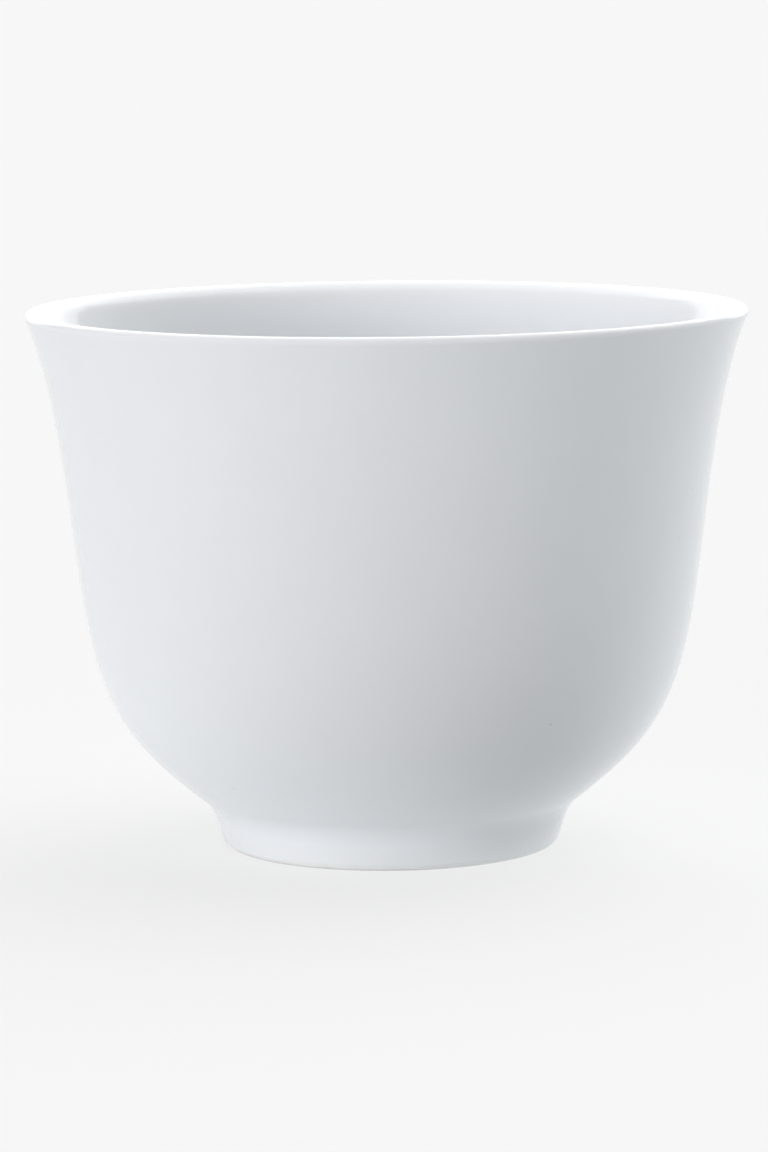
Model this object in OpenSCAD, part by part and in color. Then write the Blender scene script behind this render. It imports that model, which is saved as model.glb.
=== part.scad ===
// Handleless porcelain tea cup with a flared lip, a round belly and a foot ring.
// Millimetres, +Z up. The origin is on the cup's axis, on the table that it stands on.
// Every size is taken on the finished, glazed cup. The porcelain lies one glaze thickness below it.

/* [Cup] */
// Diameter over the lip
rim_d = 90; // [84:0.5:100]
// Height from the table to the top of the lip
cup_h = 67.5; // [58:0.5:80]

/* [Lip] */
// Radius of the outer half of the lip
lip_outer_r = 0.7; // [0.5:0.1:1.6]
// Radius of the inner half of the lip
lip_inner_r = 2.8; // [1:0.1:4]
// Lean of the wall where it meets the lip, outward from upright, in degrees
lip_lean = 23; // [14:1:36]
// How far the flare keeps the direction of the lip, as a share of the wall's span
flare_pull = 0.28; // [0.15:0.01:0.4]

/* [Wall] */
// Diameter where the belly passes into the wall
belly_d = 77; // [70:0.5:84]
// Height at which the belly passes into the wall
belly_h = 32; // [26:0.5:40]
// Lean of the wall at that height, outward from upright, in degrees
wall_lean = 8.5; // [4:0.5:13]
// Thickness of the wall at that height
wall_t = 3; // [2.2:0.1:4.5]
// How far the wall keeps that direction upward, as a share of its span
wall_pull = 0.26; // [0.2:0.01:0.5]

/* [Belly] */
// Rise of the belly from level where it leaves the foot, in degrees
belly_rise = 38.5; // [30:0.5:48]
// How far the belly keeps that rise, as a share of its span
belly_low_pull = 0.4; // [0.3:0.01:0.55]
// How far the belly follows the wall above it, as a share of its span
belly_high_pull = 0.48; // [0.3:0.01:0.55]

/* [Inside] */
// Thickness of the floor on the axis
floor_t = 3.2; // [2:0.1:5]
// How far the inside follows the wall downward, as a share of its span
inner_high_pull = 0.61; // [0.45:0.01:0.7]
// How far the inside keeps level from the axis, as a share of its span
inner_low_pull = 0.34; // [0.25:0.01:0.45]

/* [Foot] */
// Diameter of the foot where its side would meet the table
foot_d = 42; // [36:0.5:50]
// Height at which the side of the foot would meet the belly
foot_h = 5; // [4:0.1:8]
// Lean of the side of the foot, outward from upright, in degrees
foot_lean = 17; // [6:1:26]
// Radius of the hollow between the foot and the belly
neck_r = 6; // [2:0.5:8]
// Width of the foot ring on the table, before its edges are rounded
foot_w = 4; // [3:0.1:6]
// Radius of the outer edge of the bare foot rim
outer_edge_r = 0.7; // [0.3:0.1:0.8]
// Radius of the inner edge of the bare foot rim
inner_edge_r = 0.5; // [0.3:0.1:0.7]

/* [Recess under the base] */
// Height of the recess at its edge
recess_h = 3.4; // [2.8:0.1:4.2]
// Lean of the recess wall, inward from upright, in degrees
recess_lean = 12; // [4:1:25]
// Radius of the hollow between the recess wall and the base
recess_r = 1.4; // [0.6:0.1:1.8]
// Rise of the base on the axis above its edge
base_dome = 0.4; // [0:0.1:1]

/* [Glaze] */
// Thickness of the glaze
glaze_t = 0.25; // [0.15:0.05:0.4]
// Height on the foot at which the glaze is wiped off
wipe_h = 0.6; // [0.6:0.1:1.6]

/* [Hidden] */
$fn = 96;

// Straight steps along a long curve and along a small arc
curve_steps = 40;
arc_steps = 12;

porcelain_colour = "linen";
glaze_colour = "whitesmoke";

// Headings, in degrees, of travel round the section: up the outside, over the lip, down the inside to
// the axis, and under the base from the axis out to the foot. 0 is outward and 90 is up.
out_heading = 0;
up_heading = 90;
in_heading = 180;
half_turn = 180;
foot_heading = up_heading - foot_lean;
wall_heading = up_heading - wall_lean;
lip_heading = up_heading - lip_lean;
recess_heading = recess_lean - up_heading;

// The two halves of the lip meet on its crest
crest = [rim_d / 2 - lip_outer_r, cup_h];
outer_lip_centre = crest - [0, lip_outer_r];
inner_lip_centre = crest - [0, lip_inner_r];
belly_top = [belly_d / 2, belly_h];
inner_belly_top = belly_top - wall_t * right_of(wall_heading);
floor_top = recess_h + base_dome + floor_t;
foot_corner = [foot_d / 2 + foot_h * tan(foot_lean), foot_h];
recess_d = foot_d - 2 * foot_w;
recess_corner = [recess_d / 2 - recess_h * tan(recess_lean), recess_h];

// The bare rim's corners lie on the porcelain, under the finished sides of the foot
outer_rim_corner = [foot_d / 2 - glaze_t / cos(foot_lean), 0];
inner_rim_corner = [recess_d / 2 + glaze_t / cos(recess_lean), 0];

// A path is a list of stations [radius, height, heading], with the solid on its left.

function direction(heading) = [cos(heading), sin(heading)];
function right_of(heading) = [sin(heading), -cos(heading)];
function station(point, heading) = [point.x, point.y, heading];
function spot(s) = [s.x, s.y];
function points(path) = [for (s = path) spot(s)];
function reversed(list) = [for (i = [len(list) - 1 : -1 : 0]) list[i]];
function first(path) = path[0];
function last(path) = path[len(path) - 1];

// The path moved into the solid by a thickness
function inset(path, t) =
    [for (s = path) station(spot(s) - t * right_of(s.z), s.z)];

// Cubic curve from p to q. Each pull says how far it keeps the heading of that end.
function curve(p, p_heading, p_pull, q, q_heading, q_pull) =
    let (
        span = norm(q - p),
        a = p + p_pull * span * direction(p_heading),
        b = q - q_pull * span * direction(q_heading)
    )
    [for (i = [0 : curve_steps])
        let (
            t = i / curve_steps,
            u = 1 - t,
            point = u ^ 3 * p + 3 * u ^ 2 * t * a + 3 * u * t ^ 2 * b + t ^ 3 * q,
            way = u ^ 2 * (a - p) + 2 * u * t * (b - a) + t ^ 2 * (q - b),
            heading = i == 0 ? p_heading : i == curve_steps ? q_heading : atan2(way.y, way.x)
        )
        station(point, heading)];

// Arc about a centre, with the solid inside it
function arc(centre, r, from, to) =
    [for (i = [0 : arc_steps])
        let (heading = from + (to - from) * i / arc_steps)
        station(centre + r * right_of(heading), heading)];

// Arc that rounds the corner between two straight headings
function rounded(corner, r, from, to) =
    let (
        side = sign(to - from),
        start = corner - r * tan(abs(to - from) / 2) * direction(from),
        centre = start - side * r * right_of(from)
    )
    arc(centre, side * r, from, to);

// Point at a height on a straight side that passes through a corner
function on_side(corner, heading, height) =
    corner + (height - corner.y) / sin(heading) * direction(heading);

// Finished outside: the side of the foot and the neck, then belly, wall and the outer half of the lip
foot_side =
    concat(
        [station(on_side(foot_corner, foot_heading, wipe_h), foot_heading)],
        rounded(foot_corner, neck_r, foot_heading, belly_rise)
    );
belly_start = spot(last(foot_side));
belly = curve(belly_start, belly_rise, belly_low_pull, belly_top, wall_heading, belly_high_pull);
outer_lip = arc(outer_lip_centre, lip_outer_r, lip_heading, in_heading);
wall = curve(belly_top, wall_heading, wall_pull, spot(first(outer_lip)), lip_heading, flare_pull);
bowl_outside = concat(belly, wall, outer_lip);

// Finished inside: the inner half of the lip, then wall and belly down to the floor on the axis
inner_lip = arc(inner_lip_centre, lip_inner_r, in_heading, lip_heading + half_turn);
inner_wall =
    curve(
        spot(last(inner_lip)), lip_heading + half_turn, flare_pull,
        inner_belly_top, wall_heading + half_turn, wall_pull
    );
inner_belly =
    curve(
        inner_belly_top, wall_heading + half_turn, inner_high_pull,
        [0, floor_top], in_heading, inner_low_pull
    );
inside = concat(inner_lip, inner_wall, inner_belly);

// Finished underside: the domed base, then the wall of the recess down to the wipe line
recess_side =
    concat(
        rounded(recess_corner, recess_r, out_heading, recess_heading),
        [station(on_side(recess_corner, recess_heading, wipe_h), recess_heading)]
    );
base_edge = first(recess_side);
base =
    [for (i = [0 : arc_steps])
        let (share = i / arc_steps)
        station(
            [share * base_edge.x, recess_h + base_dome * (1 + cos(half_turn * share)) / 2],
            out_heading
        )];

// Bare foot rim: two rounded edges with the flat face that stands on the table between them
foot_rim =
    concat(
        rounded(inner_rim_corner, inner_edge_r, recess_heading, out_heading),
        rounded(outer_rim_corner, outer_edge_r, out_heading, foot_heading)
    );

// Solid turned from a section
module turned(section) {
    rotate_extrude() polygon(section);
}

// Glaze laid on a finished path
module glaze(path) {
    color(glaze_colour) turned(concat(points(path), reversed(points(inset(path, glaze_t)))));
}

// The bowl sits on the foot ring's sloping top, from the edge of the base out to the foot of the belly.
module bowl() {
    color(porcelain_colour) turned(points(inset(concat(bowl_outside, inside, base), glaze_t)));
}

module foot_ring() {
    color(porcelain_colour)
        turned(points(concat(inset(recess_side, glaze_t), foot_rim, inset(foot_side, glaze_t))));
}

module inner_glaze() {
    glaze(inside);
}

module outer_glaze() {
    glaze(concat(foot_side, bowl_outside));
}

module base_glaze() {
    glaze(concat(base, recess_side));
}

bowl();
foot_ring();
inner_glaze();
outer_glaze();
base_glaze();
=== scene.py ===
"""Looks of a handleless porcelain tea cup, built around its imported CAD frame. Metres, +Z up."""
import math

import bpy
import numpy as np
from mathutils import Matrix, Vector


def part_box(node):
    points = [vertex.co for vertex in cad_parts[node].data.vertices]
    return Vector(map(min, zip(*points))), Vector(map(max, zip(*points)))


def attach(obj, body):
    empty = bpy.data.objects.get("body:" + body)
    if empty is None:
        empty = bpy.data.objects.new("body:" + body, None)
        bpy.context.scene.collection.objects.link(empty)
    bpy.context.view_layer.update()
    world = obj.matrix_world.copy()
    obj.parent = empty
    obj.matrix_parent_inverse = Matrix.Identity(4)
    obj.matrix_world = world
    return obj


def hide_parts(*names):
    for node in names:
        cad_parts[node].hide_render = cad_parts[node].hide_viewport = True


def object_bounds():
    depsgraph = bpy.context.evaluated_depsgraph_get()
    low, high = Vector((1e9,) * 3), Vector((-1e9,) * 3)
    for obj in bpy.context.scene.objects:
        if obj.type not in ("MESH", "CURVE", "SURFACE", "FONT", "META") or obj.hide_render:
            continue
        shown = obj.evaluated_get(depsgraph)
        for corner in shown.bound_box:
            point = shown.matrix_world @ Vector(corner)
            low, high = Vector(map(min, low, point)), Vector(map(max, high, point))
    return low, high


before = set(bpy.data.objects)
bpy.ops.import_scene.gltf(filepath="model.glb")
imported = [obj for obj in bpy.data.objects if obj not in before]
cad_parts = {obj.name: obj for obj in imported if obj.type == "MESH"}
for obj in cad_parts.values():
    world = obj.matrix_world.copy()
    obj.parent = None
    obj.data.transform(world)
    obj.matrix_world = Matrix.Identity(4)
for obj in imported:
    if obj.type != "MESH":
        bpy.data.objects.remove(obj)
CAD_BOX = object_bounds()
MM = 0.001

# Heights taken from the frame
CUP_H = CAD_BOX[1].z
FOOT_RING_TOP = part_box("foot_ring")[1].z
WIPE_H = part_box("outer_glaze")[0].z

# Fineness of the turned meshes
TURN_STEPS = 192
RUN_SPLITS = 2
SEAM_TOLERANCE = 0.0001 * MM
CORNER_ANGLE = math.radians(30)

# A step this many times longer than the one beside it is a straight stretch
STRAIGHT_RATIO = 5

# Wiped edge of the glaze: how far it wanders up and down, how far up the foot that is felt, how far its
# cut end reaches above it, the steps round its bead, and the waves that it wanders in, as (waves in a
# turn, share, start)
WIPE_WANDER = 0.12 * MM
WIPE_REACH = 1.2 * MM
WIPE_CUT_REACH = 0.2 * MM
BEAD_STEPS = 8
WIPE_WAVES = ((3, 0.5, 0.4), (7, 0.3, 1.9), (13, 0.2, 4.1))

# Glaze: its colour where it is of plain depth, pooled and thin, the heights between which it pools above
# the foot, the height from which it thins towards the lip, and its colour by shares of the cup's height
GLAZE_BODY = (0.836, 0.857, 0.88)
GLAZE_POOLED = (0.825, 0.85, 0.874)
GLAZE_THIN = (0.848, 0.862, 0.878)
POOL_LOW = 0.6 * FOOT_RING_TOP
POOL_HIGH = 3 * FOOT_RING_TOP
LIP_THIN_LOW = CUP_H - 2.5 * MM
GLAZE_BY_HEIGHT = (
    (WIPE_H / CUP_H, GLAZE_THIN),
    (POOL_LOW / CUP_H, GLAZE_BODY),
    (FOOT_RING_TOP / CUP_H, GLAZE_POOLED),
    (POOL_HIGH / CUP_H, GLAZE_BODY),
    (LIP_THIN_LOW / CUP_H, GLAZE_BODY),
    (1.0, GLAZE_THIN))

# Finish of the glaze: a faint mottle in tone and gloss, a few dark specks and a shallow ripple
GLAZE_ROUGHNESS = (0.03, 0.07)
MOTTLE_SIZE = 9 * MM
MOTTLE_DETAIL = 2
MOTTLE = 0.014
SPECK_SPACING = 9 * MM
SPECK_R = 0.25 * MM
SPECK_CORE_R = SPECK_R / 2
SPECK_DEPTH = 0.12
RIPPLE_SIZE = 5 * MM
RIPPLE_DETAIL = 1
RIPPLE_H = 0.012 * MM

# Bare porcelain: its two tones, the darker skin where it has rubbed on tables, grain and grinding rings
PORCELAIN_LIGHT = (0.84, 0.84, 0.835)
PORCELAIN_DEEP = (0.79, 0.788, 0.775)
PORCELAIN_ROUGHNESS = (0.6, 0.75)
BLOTCH_SIZE = 3 * MM
BLOTCH_DETAIL = 4
BLOTCH_RANGE = (0.3, 0.62)
RUB_H = 0.4 * MM
RUB_DEPTH = 0.06
GRAIN_SIZE = 0.15 * MM
GRAIN_DETAIL = 2
GRAIN_H = 0.02 * MM
GRIND_SIZE = 0.3 * MM
GRIND_DETAIL = 2
GRIND_SHARE = 2.0

# Camera: the photograph's height in pixels, and where the fitted camera stands and looks
PHOTO_H = 1152
FOCAL_PX = 4821.5
SENSOR = 36.0
CAMERA_Y = -600 * MM
CAMERA_Z = 114.85 * MM
CAMERA_PITCH = math.radians(7.706)
CAMERA_YAW = math.radians(0.0599)
CAMERA_ROLL = math.radians(-0.543)

# Suns: two low, soft keys from the front left and a wide one from behind on the right, with angles in
# degrees. Azimuth 0 is from +Y and 90 from +X.
PLAIN_WHITE = (1, 1, 1)
KEY_COLOUR = (0.994, 0.984, 0.995)
LOW_KEY = {"azimuth": 235, "elevation": 2, "width": 20, "strength": 1.24, "colour": KEY_COLOUR}
WIDE_KEY = {"azimuth": 215, "elevation": 5, "width": 45, "strength": 2.1, "colour": KEY_COLOUR}
BACK = {"azimuth": 60, "elevation": 50, "width": 80, "strength": 1.88, "colour": PLAIN_WHITE}

# World: a round light above and behind the cup, a panel behind it, a weak glow from all round, and the
# level at which the rest is seen
TOP = 1.12
TOP_ELEVATION = math.radians(60)
TOP_HALF_ANGLE = math.radians(40)
PANEL = 0.8
PANEL_HALF_ANGLE = math.radians(38)
PANEL_TOP = math.radians(25)
AMBIENT = 0.05
WHITE = 0.93

# Floor: how much of the light it sends back, and its own glow as it is seen and as it lights the cup.
# Far off that light grows from left to right. In a ring round the cup it comes from the sides only. Under
# the belly it falls from left to right, and close to the foot it grows from the middle to the right.
FLOOR_SIZE = 40.0
FLOOR_COLOUR = (0.2, 0.2, 0.2)
FLOOR_ROUGHNESS = 1.0
FLOOR_SEEN_GLOW = 0.72
FLOOR_LIGHT = (0.955, 1, 1.02)
FLOOR_GLOW = (0.26, 0.66)
FLOOR_SIDE = 150 * MM
RING_R = 150 * MM
RING_GLOW = (0.51, 0.8)
RING_SHADE = 0.06
RING_SIDES = (0.65, 0.76)
UNDER_R = 45 * MM
UNDER_GLOW = (0.48, 0.38)
NEAR_R = 27 * MM
NEAR_GLOW = (0.4, 0.8)

# Factors that take the height out of a place or a direction
LEVEL = (1, 1, 0)


def seam_graph(node):
    """Spots [radius, height] on a turned node's seam, and which spots its edges join."""
    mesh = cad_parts[node].data
    spots = {}
    joined = {}

    def spot_of(vertex):
        """Key of a vertex's spot, or None off the seam."""
        x, y, z = mesh.vertices[vertex].co
        if abs(y) > SEAM_TOLERANCE or x < -SEAM_TOLERANCE:
            return None
        key = (round(x / SEAM_TOLERANCE), round(z / SEAM_TOLERANCE))
        spots[key] = (max(x, 0.0), z)
        return key

    for edge in mesh.edges:
        a, b = (spot_of(v) for v in edge.vertices)
        if a is None or b is None or a == b:
            continue
        joined.setdefault(a, set()).add(b)
        joined.setdefault(b, set()).add(a)
    return spots, joined


def section(node):
    """Outline of a turned node as [radius, height] points, solid on the left, and whether it closes."""
    spots, joined = seam_graph(node)
    ends = sorted(key for key, others in joined.items() if len(others) == 1)
    here = ends[0] if ends else min(joined)
    path = [here]
    seen = {here}
    while True:
        onward = sorted(joined[path[-1]] - seen)
        if not onward:
            break
        path.append(onward[0])
        seen.add(onward[0])
    points = np.array([spots[key] for key in path])
    following = np.roll(points, -1, axis=0)
    area = np.sum(points[:, 0] * following[:, 1] - following[:, 0] * points[:, 1])
    return points if area > 0 else points[::-1], not ends


def runs_of(points, closed):
    """Smooth stretches of an outline, cut where it turns a corner."""
    steps = np.diff(points, axis=0, append=points[:1])
    headings = np.arctan2(steps[:, 1], steps[:, 0])
    turns = np.abs((headings - np.roll(headings, 1) + math.pi) % math.tau - math.pi)
    corners = np.nonzero(turns > CORNER_ANGLE)[0]
    if closed:
        points = np.vstack([np.roll(points, -corners[0], axis=0), points[corners[0]]])
        corners = np.append(corners - corners[0], len(points) - 1)
    return [points[a:b + 1] for a, b in zip(corners[:-1], corners[1:])]


def tangents(run):
    """Direction of a run at each of its points."""
    steps = np.diff(run, axis=0)
    lengths = np.linalg.norm(steps, axis=1)
    directions = steps / lengths[:, None]
    if len(run) == 2:
        return np.repeat(directions, 2, axis=0)
    along = np.concatenate([[0.0], np.cumsum(lengths)])
    slopes = np.gradient(run, along, axis=0, edge_order=2)
    beside = np.minimum(np.append(lengths[1:], np.inf), np.insert(lengths[:-1], 0, np.inf))
    straight = lengths > STRAIGHT_RATIO * beside
    slopes[:-1][straight] = directions[straight]
    slopes[1:][straight] = directions[straight]
    return slopes / np.linalg.norm(slopes, axis=1)[:, None]


def refined(run):
    """The run with extra points on a smooth curve through its own."""
    if len(run) == 2:
        return run
    lengths = np.linalg.norm(np.diff(run, axis=0), axis=1)[:, None, None]
    slopes = tangents(run)[:, None]
    start, end = run[:-1, None], run[1:, None]
    t = (np.arange(RUN_SPLITS) / RUN_SPLITS)[None, :, None]
    between = (
        (1 + 2 * t) * (1 - t) ** 2 * start + t * (1 - t) ** 2 * lengths * slopes[:-1]
        + t ** 2 * (3 - 2 * t) * end + t ** 2 * (t - 1) * lengths * slopes[1:])
    return np.vstack([between.reshape(-1, 2), run[-1:]])


def beaded(runs):
    """The runs with the square-cut end of the glaze, at the wipe line, drawn up into a round bead."""
    cut_top = WIPE_H + WIPE_CUT_REACH
    cuts = [i for i, run in enumerate(runs) if len(run) == 2 and run[:, 1].max() < cut_top]
    if not cuts:
        return runs
    cut = cuts[0]
    before, after = runs[cut - 1], runs[(cut + 1) % len(runs)]
    start, end = runs[cut]
    radius = np.linalg.norm(end - start) / 2
    side = (end - start) / (2 * radius)
    inward = np.array([-side[1], side[0]])
    middle = (start + end) / 2 + radius * inward
    swing = np.linspace(0, math.pi, BEAD_STEPS + 1)[:, None]
    bead = middle - radius * (np.cos(swing) * side + np.sin(swing) * inward)
    whole = np.vstack([before[:-1], bead, after[1:]])
    joined = {(cut + i) % len(runs) for i in (-1, 0, 1)}
    return [whole, *(run for i, run in enumerate(runs) if i not in joined)]


def wander(turn):
    """Share of WIPE_WANDER by which the wiped edge stands off at an angle round the cup."""
    return sum(share * np.sin(count * turn + start) for count, share, start in WIPE_WAVES)


def turned(name, node, material, wiped):
    """Finely turned piece that stands for a CAD node. A wiped piece has an uneven lower edge."""
    turn = np.arange(TURN_STEPS) * math.tau / TURN_STEPS
    around = np.stack([np.cos(turn), np.sin(turn)], axis=1)
    vertices = []
    rings = {}

    def ring(point):
        """Vertex numbers round the cup at a point of the outline. On the axis they are all one."""
        key = tuple(np.round(point / SEAM_TOLERANCE).astype(int))
        if key in rings:
            return rings[key]
        radius, height = point
        first = sum(len(block) for block in vertices)
        if radius < SEAM_TOLERANCE:
            vertices.append(np.array([[0.0, 0.0, height]]))
            rings[key] = np.full(TURN_STEPS, first)
            return rings[key]
        felt = max(0.0, 1 - (height - WIPE_H) / WIPE_REACH) if wiped else 0.0
        heights = height + WIPE_WANDER * felt ** 2 * wander(turn)
        vertices.append(np.column_stack([radius * around, heights]))
        rings[key] = first + np.arange(TURN_STEPS)
        return rings[key]

    faces = []
    normals = []
    for run in (refined(run) for run in beaded(runs_of(*section(node)))):
        slopes = tangents(run)
        outward = [np.column_stack([r * around, np.full(TURN_STEPS, -s)]) for s, r in slopes]
        for i in range(len(run) - 1):
            low, high = ring(run[i]), ring(run[i + 1])
            corners = np.stack([low, np.roll(low, -1), np.roll(high, -1), high], axis=1)
            facing = np.stack(
                [outward[i], np.roll(outward[i], -1, axis=0),
                 np.roll(outward[i + 1], -1, axis=0), outward[i + 1]], axis=1)
            # Four corners, or three where one end of the step lies on the axis
            kept = [0, 1, 2, 3]
            if low[0] == low[1]:
                kept = [0, 2, 3]
            elif high[0] == high[1]:
                kept = [0, 1, 2]
            faces += corners[:, kept].tolist()
            normals.append(facing[:, kept].reshape(-1, 3))
    mesh = bpy.data.meshes.new(name)
    mesh.from_pydata(np.vstack(vertices).tolist(), [], faces)
    mesh.shade_smooth()
    mesh.normals_split_custom_set(np.vstack(normals).tolist())
    mesh.materials.append(material)
    piece = bpy.data.objects.new(name, mesh)
    bpy.context.scene.collection.objects.link(piece)
    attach(piece, "root")
    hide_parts(node)


class Nodes:
    """Short ways to add nodes to a tree."""

    def __init__(self, tree):
        self.tree = tree

    def add(self, kind, inputs=(), **settings):
        """New node with its settings made. An input is a value or the output that feeds it."""
        node = self.tree.nodes.new("ShaderNode" + kind)
        for key, value in settings.items():
            setattr(node, key, value)
        for key, value in dict(inputs).items():
            self.feed(node.inputs[key], value)
        return node

    def feed(self, socket, value):
        """Gives a socket a value, or links it to the output that feeds it."""
        if isinstance(value, bpy.types.NodeSocket):
            self.tree.links.new(value, socket)
        else:
            socket.default_value = value

    def maths(self, operation, a, b=0):
        """Result of an operation on numbers."""
        return self.add("Math", {0: a, 1: b}, operation=operation).outputs[0]

    def vector(self, operation, *inputs):
        """Result of an operation on vectors: a number for a length or a dot product, else a vector."""
        result = "Value" if operation in ("LENGTH", "DOT_PRODUCT") else "Vector"
        return self.add("VectorMath", dict(enumerate(inputs)), operation=operation).outputs[result]

    def part(self, vector, axis):
        """Coordinate of a vector along an axis."""
        return self.add("SeparateXYZ", {0: vector}).outputs[axis]

    def ramp(self, value, low, high, at_low, at_high):
        """Straight change from at_low to at_high as a value goes from low to high."""
        ends = {"From Min": low, "From Max": high, "To Min": at_low, "To Max": at_high}
        return self.add("MapRange", {"Value": value, **ends}).outputs[0]

    def noise(self, place, size, detail):
        """Cloudy pattern of about 0 to 1 whose patches have a size in metres."""
        inputs = {"Vector": place, "Scale": 1 / size, "Detail": detail}
        return self.add("TexNoise", inputs).outputs[0]

    def bands(self, distance, size, detail):
        """Pattern of about 0 to 1 that changes with a distance alone, in bands of a size in metres."""
        inputs = {"W": distance, "Scale": 1 / size, "Detail": detail}
        return self.add("TexNoise", inputs, noise_dimensions="1D").outputs[0]

    def colours(self, share, stops):
        """Colour that follows a share from 0 to 1 through stops of (share, colour)."""
        node = self.add("ValToRGB", {"Fac": share})
        elements = node.color_ramp.elements
        for element, (at, colour) in zip(elements, (stops[0], stops[-1])):
            element.position = at
            element.color = (*colour, 1)
        for at, colour in stops[1:-1]:
            elements.new(at).color = (*colour, 1)
        return node.outputs["Color"]

    def scaled(self, colour, factor):
        """Colour made darker or lighter by a factor."""
        return self.add("VectorMath", {0: colour, "Scale": factor}, operation="SCALE").outputs[0]

    def bump(self, relief, height):
        """Normal of a relief from 0 to 1 that is this high in metres."""
        return self.add("Bump", {"Height": relief, "Distance": height}).outputs["Normal"]

    def seen(self):
        """1 for rays that show what is there, straight or mirrored, and 0 for rays that only light."""
        path = self.add("LightPath").outputs
        mirrored = self.maths("MAXIMUM", path["Is Glossy Ray"], path["Is Transmission Ray"])
        return self.maths("MAXIMUM", path["Is Camera Ray"], mirrored)


def plain_material(name, colour, roughness):
    """Material of one colour, and its shader."""
    material = bpy.data.materials.new(name)
    material.use_nodes = True
    shader = material.node_tree.nodes["Principled BSDF"]
    shader.inputs["Base Color"].default_value = (*colour, 1)
    shader.inputs["Roughness"].default_value = roughness
    return material, shader


def glaze_material():
    """Glossy clear glaze over white porcelain: pooled above the foot, thin over edges, a few specks."""
    material, shader = plain_material("glaze", GLAZE_BODY, GLAZE_ROUGHNESS[0])
    nodes = Nodes(material.node_tree)
    place = nodes.add("TexCoord").outputs["Object"]
    height = nodes.ramp(nodes.part(place, "Z"), 0, CUP_H, 0, 1)
    depth = nodes.colours(height, GLAZE_BY_HEIGHT)
    cloud = nodes.noise(place, MOTTLE_SIZE, MOTTLE_DETAIL)
    shade = nodes.ramp(cloud, 0, 1, 1 - MOTTLE, 1 + MOTTLE)
    cells = nodes.add("TexVoronoi", {"Vector": place, "Scale": 1 / SPECK_SPACING}).outputs["Distance"]
    core, edge = SPECK_CORE_R / SPECK_SPACING, SPECK_R / SPECK_SPACING
    speck = nodes.ramp(cells, core, edge, 1 - SPECK_DEPTH, 1)
    colour = nodes.scaled(depth, nodes.maths("MULTIPLY", shade, speck))
    nodes.feed(shader.inputs["Base Color"], colour)
    nodes.feed(shader.inputs["Roughness"], nodes.ramp(cloud, 0, 1, *GLAZE_ROUGHNESS))
    ripple = nodes.noise(place, RIPPLE_SIZE, RIPPLE_DETAIL)
    nodes.feed(shader.inputs["Normal"], nodes.bump(ripple, RIPPLE_H))
    return material


def porcelain_material():
    """Bare fired porcelain: warm white, fine-grained, with rings left by the grinding of the foot."""
    material, shader = plain_material("porcelain", PORCELAIN_LIGHT, PORCELAIN_ROUGHNESS[0])
    nodes = Nodes(material.node_tree)
    place = nodes.add("TexCoord").outputs["Object"]
    height = nodes.part(place, "Z")
    radius = nodes.vector("LENGTH", nodes.vector("MULTIPLY", place, LEVEL))
    blotch = nodes.noise(place, BLOTCH_SIZE, BLOTCH_DETAIL)
    tones = tuple(zip(BLOTCH_RANGE, (PORCELAIN_DEEP, PORCELAIN_LIGHT)))
    rubbed = nodes.ramp(height, 0, RUB_H, 1 - RUB_DEPTH, 1)
    nodes.feed(shader.inputs["Base Color"], nodes.scaled(nodes.colours(blotch, tones), rubbed))
    nodes.feed(shader.inputs["Roughness"], nodes.ramp(height, 0, RUB_H, *PORCELAIN_ROUGHNESS))
    rings = nodes.maths("MULTIPLY", nodes.bands(radius, GRIND_SIZE, GRIND_DETAIL), GRIND_SHARE)
    relief = nodes.maths("ADD", rings, nodes.noise(place, GRAIN_SIZE, GRAIN_DETAIL))
    nodes.feed(shader.inputs["Normal"], nodes.bump(relief, GRAIN_H))
    return material


def floor_material():
    """Plain floor with a glow of its own, which is even where it is seen and uneven where it lights."""
    material, shader = plain_material("floor", FLOOR_COLOUR, FLOOR_ROUGHNESS)
    shader.inputs["Specular IOR Level"].default_value = 0
    nodes = Nodes(material.node_tree)
    seen = nodes.seen()
    light = nodes.colours(seen, ((0, FLOOR_LIGHT), (1, PLAIN_WHITE)))
    nodes.feed(shader.inputs["Emission Color"], light)
    place = nodes.add("TexCoord").outputs["Object"]
    radius = nodes.vector("LENGTH", place)
    side = nodes.part(nodes.vector("NORMALIZE", place), "X")
    beside = nodes.ramp(nodes.maths("ABSOLUTE", side), *RING_SIDES, 0, 1)
    side_glow = nodes.maths("MULTIPLY", beside, nodes.ramp(side, -1, 1, *RING_GLOW))
    ring_glow = nodes.maths("MAXIMUM", side_glow, RING_SHADE)
    under_glow = nodes.ramp(side, -1, 1, *UNDER_GLOW)
    near_glow = nodes.ramp(side, 0, 1, *NEAR_GLOW)
    lit = nodes.ramp(nodes.part(place, "X"), -FLOOR_SIDE, FLOOR_SIDE, *FLOOR_GLOW)
    for reach, glow in ((RING_R, ring_glow), (UNDER_R, under_glow), (NEAR_R, near_glow)):
        lit = nodes.ramp(nodes.maths("LESS_THAN", radius, reach), 0, 1, lit, glow)
    nodes.feed(shader.inputs["Emission Strength"], nodes.ramp(seen, 0, 1, lit, FLOOR_SEEN_GLOW))
    return material


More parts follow.
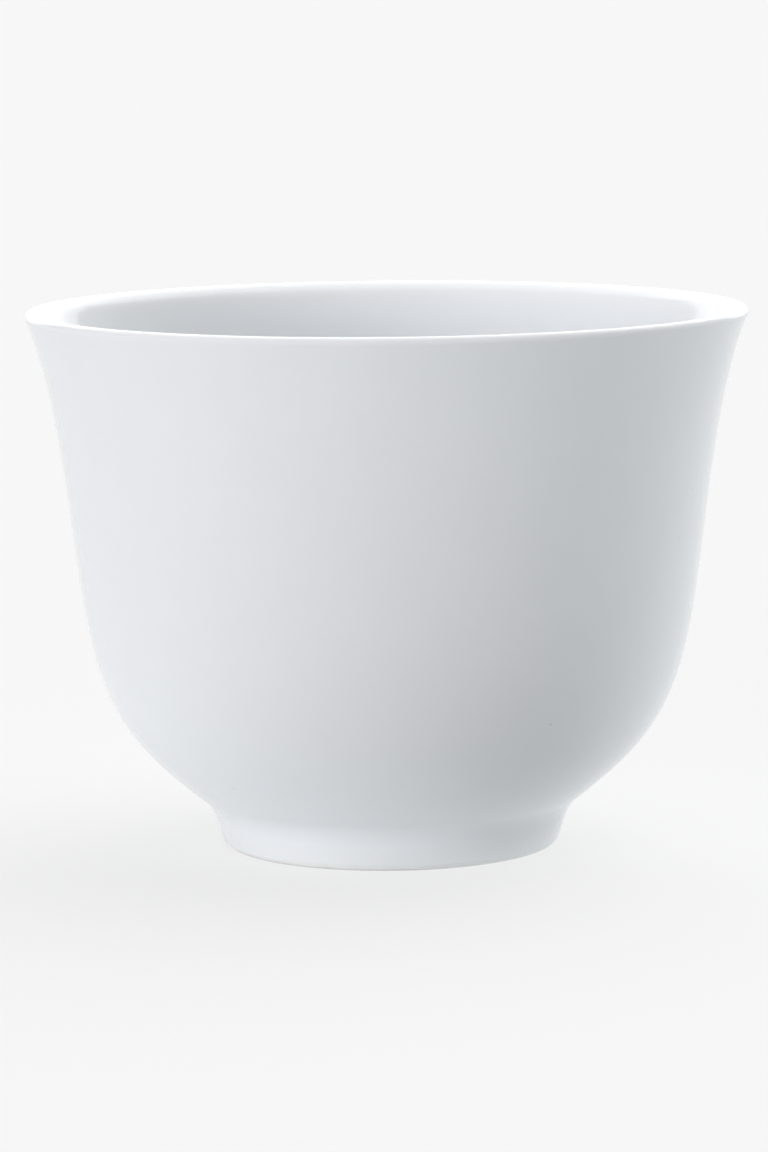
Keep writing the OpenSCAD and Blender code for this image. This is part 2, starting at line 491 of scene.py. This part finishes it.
def studio_world():
    """World that is pale where it is seen, with the panel and the round light to light and to mirror."""
    world = bpy.data.worlds.new("world")
    world.use_nodes = True
    nodes = Nodes(world.node_tree)
    way = nodes.add("TexCoord").outputs["Generated"]
    heading = nodes.vector("NORMALIZE", nodes.vector("MULTIPLY", way, LEVEL))
    in_width = nodes.maths("GREATER_THAN", nodes.part(heading, "Y"), math.cos(PANEL_HALF_ANGLE))
    in_height = nodes.maths("LESS_THAN", nodes.part(way, "Z"), math.sin(PANEL_TOP))
    panel = nodes.maths("MULTIPLY", nodes.maths("MULTIPLY", in_width, in_height), PANEL)
    top_way = (0, math.cos(TOP_ELEVATION), math.sin(TOP_ELEVATION))
    to_top = nodes.vector("DOT_PRODUCT", way, top_way)
    top = nodes.maths("MULTIPLY", nodes.maths("GREATER_THAN", to_top, math.cos(TOP_HALF_ANGLE)), TOP)
    unseen = nodes.ramp(nodes.add("LightPath").outputs["Is Camera Ray"], 0, 1, 1, 0)
    lights = nodes.maths("MULTIPLY", nodes.maths("ADD", panel, top), unseen)
    glow = nodes.ramp(nodes.seen(), 0, 1, AMBIENT, WHITE)
    background = world.node_tree.nodes["Background"].inputs
    background["Color"].default_value = (*PLAIN_WHITE, 1)
    nodes.feed(background["Strength"], nodes.maths("ADD", lights, glow))
    return world


def soft_sun(name, azimuth, elevation, width, strength, colour):
    """Wide, far light from an azimuth and an elevation, in degrees, that shows in no reflection."""
    lamp = bpy.data.lights.new(name, "SUN")
    lamp.energy = strength
    lamp.color = colour
    lamp.angle = math.radians(width)
    sun = bpy.data.objects.new(name, lamp)
    turn = Matrix.Rotation(-math.radians(azimuth), 4, "Z")
    tilt = Matrix.Rotation(math.radians(elevation) - math.pi / 2, 4, "X")
    sun.matrix_world = turn @ tilt
    sun.visible_glossy = False
    bpy.context.scene.collection.objects.link(sun)


# Cup
glaze = glaze_material()
porcelain = porcelain_material()
turned("outer_glaze_coat", "outer_glaze", glaze, wiped=True)
turned("inner_glaze_lining", "inner_glaze", glaze, wiped=False)
turned("base_glaze_disc", "base_glaze", glaze, wiped=True)
turned("foot_ring_body", "foot_ring", porcelain, wiped=False)
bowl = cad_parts["bowl"]
bowl.data.materials.clear()
bowl.data.materials.append(porcelain)

# Floor and light
bpy.ops.mesh.primitive_plane_add(size=FLOOR_SIZE)
floor = bpy.context.object
floor.name = "floor"
floor.data.materials.append(floor_material())
bpy.context.scene.world = studio_world()
soft_sun("low_key", **LOW_KEY)
soft_sun("wide_key", **WIDE_KEY)
soft_sun("back", **BACK)

# Camera
lens = bpy.data.cameras.new("camera")
lens.sensor_fit = "VERTICAL"
lens.sensor_height = SENSOR
lens.lens = FOCAL_PX * SENSOR / PHOTO_H
camera = bpy.data.objects.new("camera", lens)
camera.matrix_world = (
    Matrix.Translation((0, CAMERA_Y, CAMERA_Z))
    @ Matrix.Rotation(CAMERA_YAW, 4, "Z")
    @ Matrix.Rotation(math.pi / 2 - CAMERA_PITCH, 4, "X")
    @ Matrix.Rotation(CAMERA_ROLL, 4, "Z"))
bpy.context.scene.collection.objects.link(camera)
bpy.context.scene.camera = camera
bpy.context.scene.view_settings.view_transform = "Standard"
